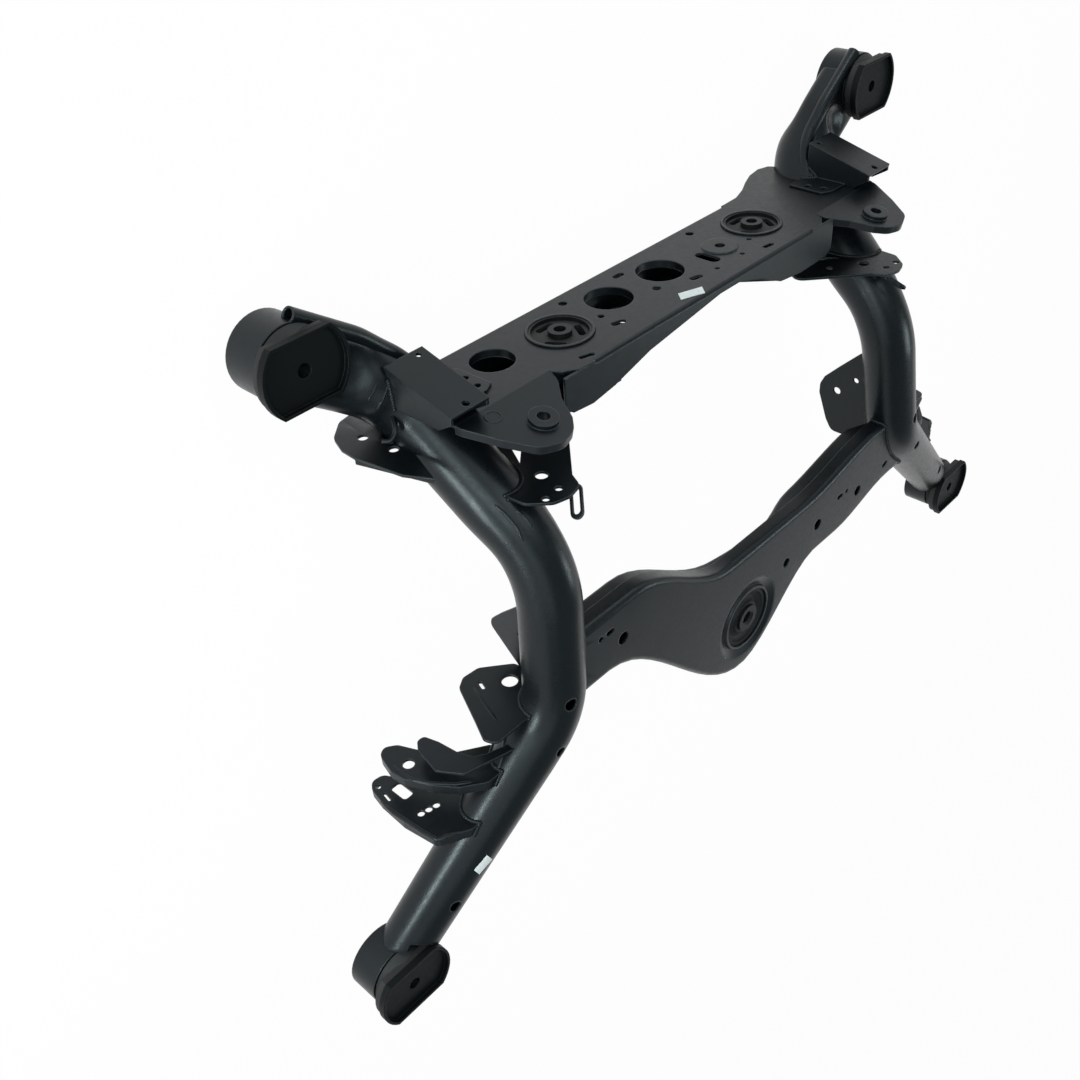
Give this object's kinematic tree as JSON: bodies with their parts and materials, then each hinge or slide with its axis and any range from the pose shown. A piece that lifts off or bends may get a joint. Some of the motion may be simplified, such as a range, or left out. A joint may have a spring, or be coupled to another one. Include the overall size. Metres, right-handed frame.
{
  "type": "rear subframe",
  "caption": "Black steel rear subframe: bent tube side members joined by pressed cross-members, with rubber body mounts, axle bushes and link brackets.",
  "frame": {"origin": "middle of the front axle mount bore", "axes": "+X to the right of the picture across the car, +Y to the rear of the car, +Z out of the underside"},
  "size_m": [1.248, 0.7161, 0.2656],
  "materials": {
    "black_coated_steel": "satin black dip coat",
    "plated_steel": "dull plated sleeves",
    "mount_rubber": "matt moulded rubber"
  },
  "bodies": {
    "root": {"side_member_left": "black_coated_steel", "side_member_right": "black_coated_steel", "rear_arm_left": "black_coated_steel", "rear_arm_right": "black_coated_steel", "rear_panel": "black_coated_steel", "rear_pan": "black_coated_steel", "axle_housing_left": "black_coated_steel", "axle_housing_right": "black_coated_steel", "axle_shell": "plated_steel", "axle_rubber": "mount_rubber", "axle_core": "plated_steel", "cross_front": "black_coated_steel", "cross_back_shell": "black_coated_steel", "nose_housing": "black_coated_steel", "nose_rubber": "mount_rubber", "nose_core": "plated_steel", "rear_sleeves": "black_coated_steel", "front_sleeves": "black_coated_steel", "rear_mount_rubber": "mount_rubber", "front_mount_rubber": "mount_rubber", "rear_mount_core": "plated_steel", "front_mount_core": "plated_steel", "rear_stop_plates": "black_coated_steel", "front_stop_plates": "black_coated_steel", "link_gusset_left": "black_coated_steel", "link_gusset_right": "black_coated_steel", "shelf_bracket_left": "black_coated_steel", "shelf_bracket_right": "black_coated_steel", "upper_bracket_left": "black_coated_steel", "upper_bracket_right": "black_coated_steel", "clevis_low_left": "black_coated_steel", "clevis_low_right": "black_coated_steel", "clevis_high_left": "black_coated_steel", "clevis_high_right": "black_coated_steel", "clevis_webs": "black_coated_steel", "mid_brackets": "black_coated_steel", "hanger_left": "black_coated_steel", "hanger_right": "black_coated_steel"}
  },
  "joints": []
}
